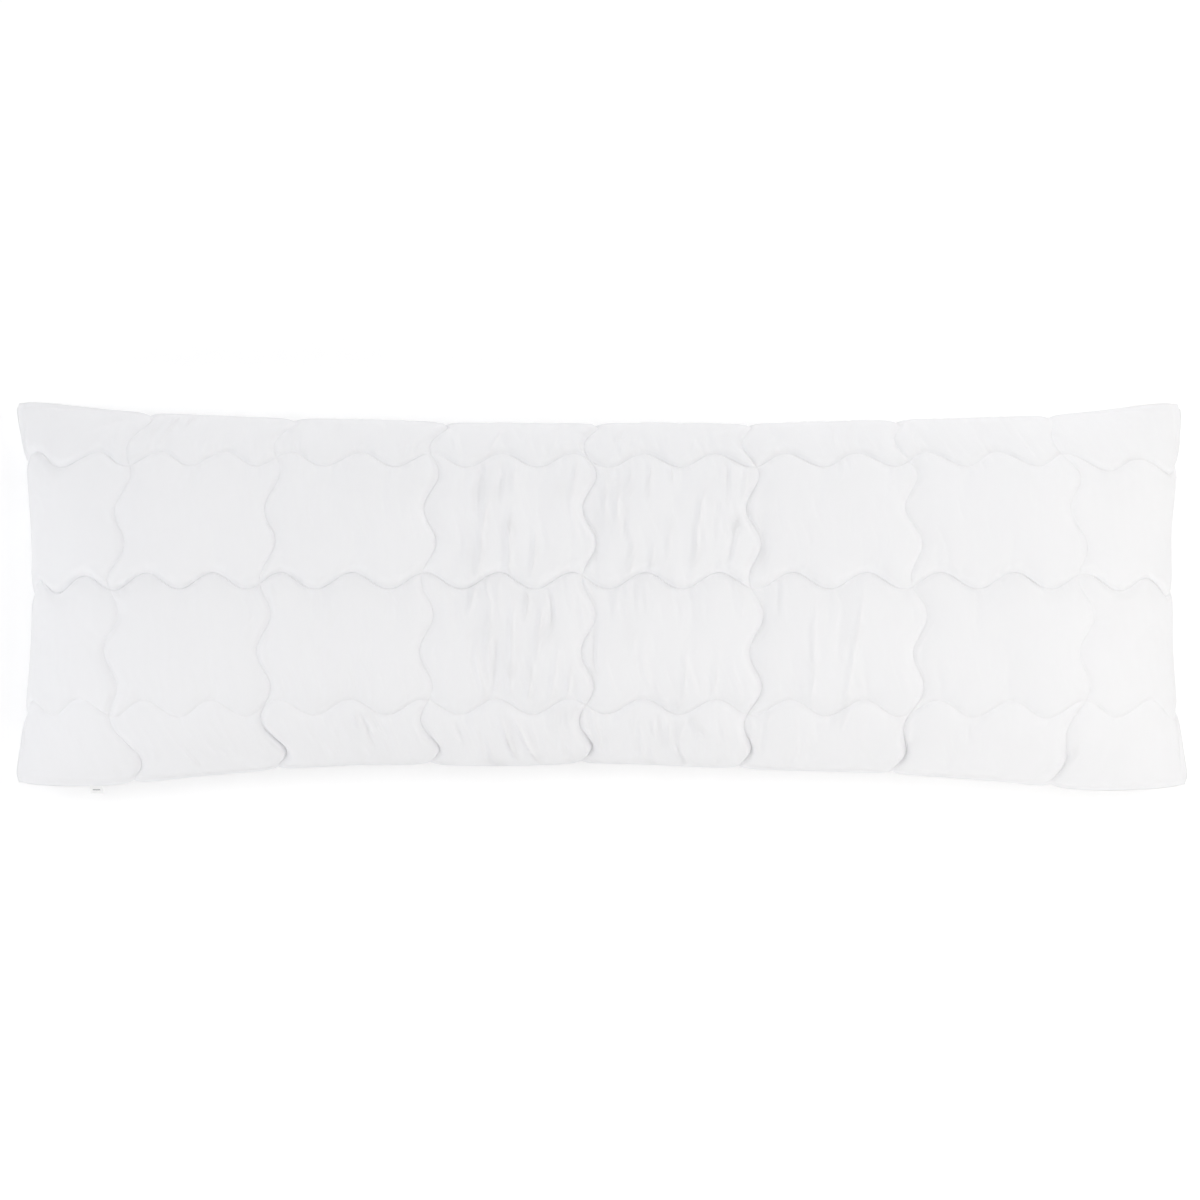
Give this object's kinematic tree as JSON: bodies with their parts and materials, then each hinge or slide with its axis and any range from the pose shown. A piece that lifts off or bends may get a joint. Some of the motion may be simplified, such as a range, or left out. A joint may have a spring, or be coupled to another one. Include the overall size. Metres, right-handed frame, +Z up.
{
  "type": "body pillow",
  "caption": "Long filled body pillow, quilted in wavy stitched channels on both faces, with drawn-in sides, pointed corners and a small blank label in one long seam.",
  "frame": {"origin": "on the surface it rests on, under the middle of its box", "axes": "+X along the pillow, +Y across it towards the long seam without the label, +Z up through its thickness"},
  "size_m": [1.4584, 0.4868, 0.172],
  "materials": {
    "quilted_cloth": "matte white closely woven cloth, quilted",
    "ribbon": "smooth white woven ribbon"
  },
  "bodies": {
    "root": {"pillow": "quilted_cloth", "label": "ribbon"}
  },
  "joints": []
}
